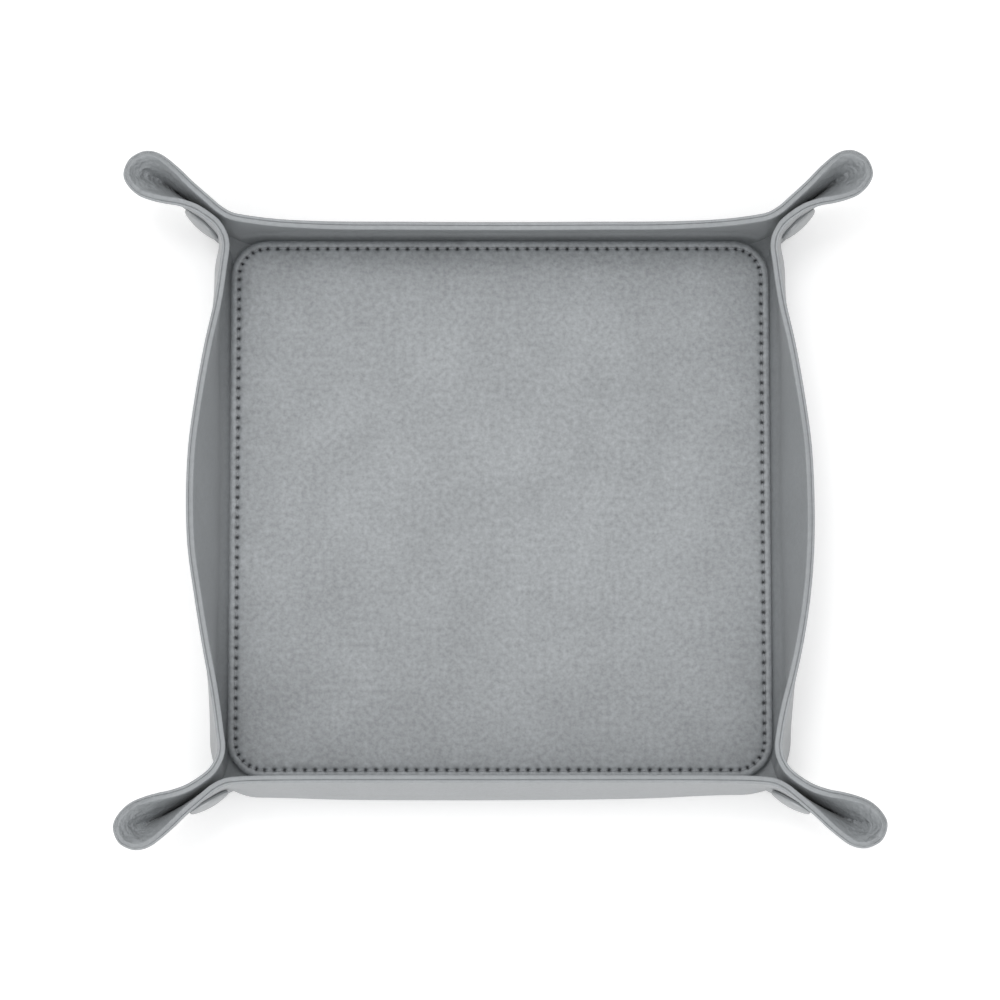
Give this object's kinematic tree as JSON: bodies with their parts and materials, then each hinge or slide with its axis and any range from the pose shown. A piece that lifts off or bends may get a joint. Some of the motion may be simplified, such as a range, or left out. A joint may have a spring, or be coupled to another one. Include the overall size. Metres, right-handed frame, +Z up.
{
  "type": "jewelry tray",
  "caption": "Square soft-sided valet tray folded up from a grey leatherette sheet, its corners pinched into looped ears by press studs, with a stitched padded floor",
  "frame": {"origin": "middle of the underside, on the surface that the tray stands on", "axes": "+X right (east) along the ears' longer span, +Y away from the viewer (north), +Z up"},
  "size_m": [0.2078, 0.1902, 0.0341],
  "materials": {
    "grey_leatherette": "fine pebbled grain, matt",
    "grey_board": "plain",
    "grey_thread": "twisted sewing thread",
    "grey_enamel": "satin enamel",
    "nickel_plate": "satin nickel plate"
  },
  "bodies": {
    "tray_floor": {"floor_cover": "grey_leatherette", "floor_lining": "grey_leatherette", "pad_board": "grey_board", "pad_cover": "grey_leatherette", "pad_stitching": "grey_thread"},
    "north_wall": {"north_wall_cover": "grey_leatherette", "north_wall_lining": "grey_leatherette"},
    "south_wall": {"south_wall_cover": "grey_leatherette", "south_wall_lining": "grey_leatherette"},
    "east_wall": {"east_wall_cover": "grey_leatherette", "east_wall_lining": "grey_leatherette"},
    "west_wall": {"west_wall_cover": "grey_leatherette", "west_wall_lining": "grey_leatherette"},
    "ear_ne_north_neck": {"ear_ne_north_cover": "grey_leatherette", "ear_ne_north_lining": "grey_leatherette", "snap_ne_stud": "nickel_plate", "snap_ne_back": "nickel_plate"},
    "ear_ne_north_tip": {"ear_ne_north_tip": "grey_leatherette"},
    "ear_ne_east_neck": {"ear_ne_east_cover": "grey_leatherette", "ear_ne_east_lining": "grey_leatherette", "snap_ne_cap": "grey_enamel", "snap_ne_socket": "nickel_plate"},
    "ear_ne_east_tip": {"ear_ne_east_tip": "grey_leatherette"},
    "ear_nw_north_neck": {"ear_nw_north_cover": "grey_leatherette", "ear_nw_north_lining": "grey_leatherette", "snap_nw_stud": "nickel_plate", "snap_nw_back": "nickel_plate"},
    "ear_nw_north_tip": {"ear_nw_north_tip": "grey_leatherette"},
    "ear_nw_west_neck": {"ear_nw_west_cover": "grey_leatherette", "ear_nw_west_lining": "grey_leatherette", "snap_nw_cap": "grey_enamel", "snap_nw_socket": "nickel_plate"},
    "ear_nw_west_tip": {"ear_nw_west_tip": "grey_leatherette"},
    "ear_sw_south_neck": {"ear_sw_south_cover": "grey_leatherette", "ear_sw_south_lining": "grey_leatherette", "snap_sw_cap": "grey_enamel", "snap_sw_socket": "nickel_plate"},
    "ear_sw_south_tip": {"ear_sw_south_tip": "grey_leatherette"},
    "ear_sw_west_neck": {"ear_sw_west_cover": "grey_leatherette", "ear_sw_west_lining": "grey_leatherette", "snap_sw_stud": "nickel_plate", "snap_sw_back": "nickel_plate"},
    "ear_sw_west_tip": {"ear_sw_west_tip": "grey_leatherette"},
    "ear_se_south_neck": {"ear_se_south_cover": "grey_leatherette", "ear_se_south_lining": "grey_leatherette", "snap_se_cap": "grey_enamel", "snap_se_socket": "nickel_plate"},
    "ear_se_south_tip": {"ear_se_south_tip": "grey_leatherette"},
    "ear_se_east_neck": {"ear_se_east_cover": "grey_leatherette", "ear_se_east_lining": "grey_leatherette", "snap_se_stud": "nickel_plate", "snap_se_back": "nickel_plate"},
    "ear_se_east_tip": {"ear_se_east_tip": "grey_leatherette"}
  },
  "joints": [
    {"name": "north_wall_fold", "type": "hinge", "parent": "tray_floor", "child": "north_wall", "pos_m": [0, 0.07845, 0], "axis": [-1, 0, 0], "range_deg": [0, 76]},
    {"name": "south_wall_fold", "type": "hinge", "parent": "tray_floor", "child": "south_wall", "pos_m": [0, -0.07845, 0], "axis": [1, 0, 0], "range_deg": [0, 76]},
    {"name": "east_wall_fold", "type": "hinge", "parent": "tray_floor", "child": "east_wall", "pos_m": [0.07845, 0, 0], "axis": [0, 1, 0], "range_deg": [0, 76]},
    {"name": "west_wall_fold", "type": "hinge", "parent": "tray_floor", "child": "west_wall", "pos_m": [-0.07845, 0, 0], "axis": [0, -1, 0], "range_deg": [0, 76]},
    {"name": "ear_ne_north_neck_fold", "type": "hinge", "parent": "north_wall", "child": "ear_ne_north_neck", "pos_m": [0.07381, 0.07622, 0.003], "axis": [0.044, 0.044, -0.9981], "range_deg": [0, 20]},
    {"name": "ear_ne_north_tip_bend", "type": "hinge", "parent": "ear_ne_north_neck", "child": "ear_ne_north_tip", "pos_m": [0.07874, 0.08042, 0.00244], "axis": [0.5141, 0.3688, 0.7744], "range_deg": [0, 30]},
    {"name": "ear_ne_east_neck_fold", "type": "hinge", "parent": "east_wall", "child": "ear_ne_east_neck", "pos_m": [0.07622, 0.07566, 0.003], "axis": [-0.044, -0.044, 0.9981], "range_deg": [0, 57]},
    {"name": "ear_ne_east_tip_bend", "type": "hinge", "parent": "ear_ne_east_neck", "child": "ear_ne_east_tip", "pos_m": [0.08074, 0.07703, 0.00243], "axis": [-0.5831, -0.2495, -0.7731], "range_deg": [0, 80]},
    {"name": "ear_nw_north_neck_fold", "type": "hinge", "parent": "north_wall", "child": "ear_nw_north_neck", "pos_m": [-0.07381, 0.07622, 0.003], "axis": [0.044, -0.044, 0.9981], "range_deg": [0, 20]},
    {"name": "ear_nw_north_tip_bend", "type": "hinge", "parent": "ear_nw_north_neck", "child": "ear_nw_north_tip", "pos_m": [-0.07874, 0.08042, 0.00244], "axis": [0.5141, -0.3688, -0.7744], "range_deg": [0, 30]},
    {"name": "ear_nw_west_neck_fold", "type": "hinge", "parent": "west_wall", "child": "ear_nw_west_neck", "pos_m": [-0.07622, 0.07566, 0.003], "axis": [-0.044, 0.044, -0.9981], "range_deg": [0, 57]},
    {"name": "ear_nw_west_tip_bend", "type": "hinge", "parent": "ear_nw_west_neck", "child": "ear_nw_west_tip", "pos_m": [-0.08074, 0.07703, 0.00243], "axis": [-0.5831, 0.2495, 0.7731], "range_deg": [0, 80]},
    {"name": "ear_sw_south_neck_fold", "type": "hinge", "parent": "south_wall", "child": "ear_sw_south_neck", "pos_m": [-0.07381, -0.07622, 0.003], "axis": [-0.044, -0.044, -0.9981], "range_deg": [0, 20]},
    {"name": "ear_sw_south_tip_bend", "type": "hinge", "parent": "ear_sw_south_neck", "child": "ear_sw_south_tip", "pos_m": [-0.07874, -0.08042, 0.00244], "axis": [-0.5141, -0.3688, 0.7744], "range_deg": [0, 30]},
    {"name": "ear_sw_west_neck_fold", "type": "hinge", "parent": "west_wall", "child": "ear_sw_west_neck", "pos_m": [-0.07622, -0.07566, 0.003], "axis": [0.044, 0.044, 0.9981], "range_deg": [0, 57]},
    {"name": "ear_sw_west_tip_bend", "type": "hinge", "parent": "ear_sw_west_neck", "child": "ear_sw_west_tip", "pos_m": [-0.08074, -0.07703, 0.00243], "axis": [0.5831, 0.2495, -0.7731], "range_deg": [0, 80]},
    {"name": "ear_se_south_neck_fold", "type": "hinge", "parent": "south_wall", "child": "ear_se_south_neck", "pos_m": [0.07381, -0.07622, 0.003], "axis": [-0.044, 0.044, 0.9981], "range_deg": [0, 20]},
    {"name": "ear_se_south_tip_bend", "type": "hinge", "parent": "ear_se_south_neck", "child": "ear_se_south_tip", "pos_m": [0.07874, -0.08042, 0.00244], "axis": [-0.5141, 0.3688, -0.7744], "range_deg": [0, 30]},
    {"name": "ear_se_east_neck_fold", "type": "hinge", "parent": "east_wall", "child": "ear_se_east_neck", "pos_m": [0.07622, -0.07566, 0.003], "axis": [0.044, -0.044, -0.9981], "range_deg": [0, 57]},
    {"name": "ear_se_east_tip_bend", "type": "hinge", "parent": "ear_se_east_neck", "child": "ear_se_east_tip", "pos_m": [0.08074, -0.07703, 0.00243], "axis": [0.5831, -0.2495, 0.7731], "range_deg": [0, 80]}
  ],
  "couplings": [
    {"joint": "south_wall_fold", "follows": "north_wall_fold", "ratio": 1},
    {"joint": "east_wall_fold", "follows": "north_wall_fold", "ratio": 1},
    {"joint": "west_wall_fold", "follows": "north_wall_fold", "ratio": 1},
    {"joint": "ear_ne_north_neck_fold", "follows": "north_wall_fold", "ratio": 0.26316},
    {"joint": "ear_ne_north_tip_bend", "follows": "north_wall_fold", "ratio": 0.39474},
    {"joint": "ear_ne_east_neck_fold", "follows": "north_wall_fold", "ratio": 0.75},
    {"joint": "ear_ne_east_tip_bend", "follows": "north_wall_fold", "ratio": 1.0526},
    {"joint": "ear_nw_north_neck_fold", "follows": "north_wall_fold", "ratio": 0.26316},
    {"joint": "ear_nw_north_tip_bend", "follows": "north_wall_fold", "ratio": 0.39474},
    {"joint": "ear_nw_west_neck_fold", "follows": "north_wall_fold", "ratio": 0.75},
    {"joint": "ear_nw_west_tip_bend", "follows": "north_wall_fold", "ratio": 1.0526},
    {"joint": "ear_sw_south_neck_fold", "follows": "north_wall_fold", "ratio": 0.26316},
    {"joint": "ear_sw_south_tip_bend", "follows": "north_wall_fold", "ratio": 0.39474},
    {"joint": "ear_sw_west_neck_fold", "follows": "north_wall_fold", "ratio": 0.75},
    {"joint": "ear_sw_west_tip_bend", "follows": "north_wall_fold", "ratio": 1.0526},
    {"joint": "ear_se_south_neck_fold", "follows": "north_wall_fold", "ratio": 0.26316},
    {"joint": "ear_se_south_tip_bend", "follows": "north_wall_fold", "ratio": 0.39474},
    {"joint": "ear_se_east_neck_fold", "follows": "north_wall_fold", "ratio": 0.75},
    {"joint": "ear_se_east_tip_bend", "follows": "north_wall_fold", "ratio": 1.0526}
  ]
}
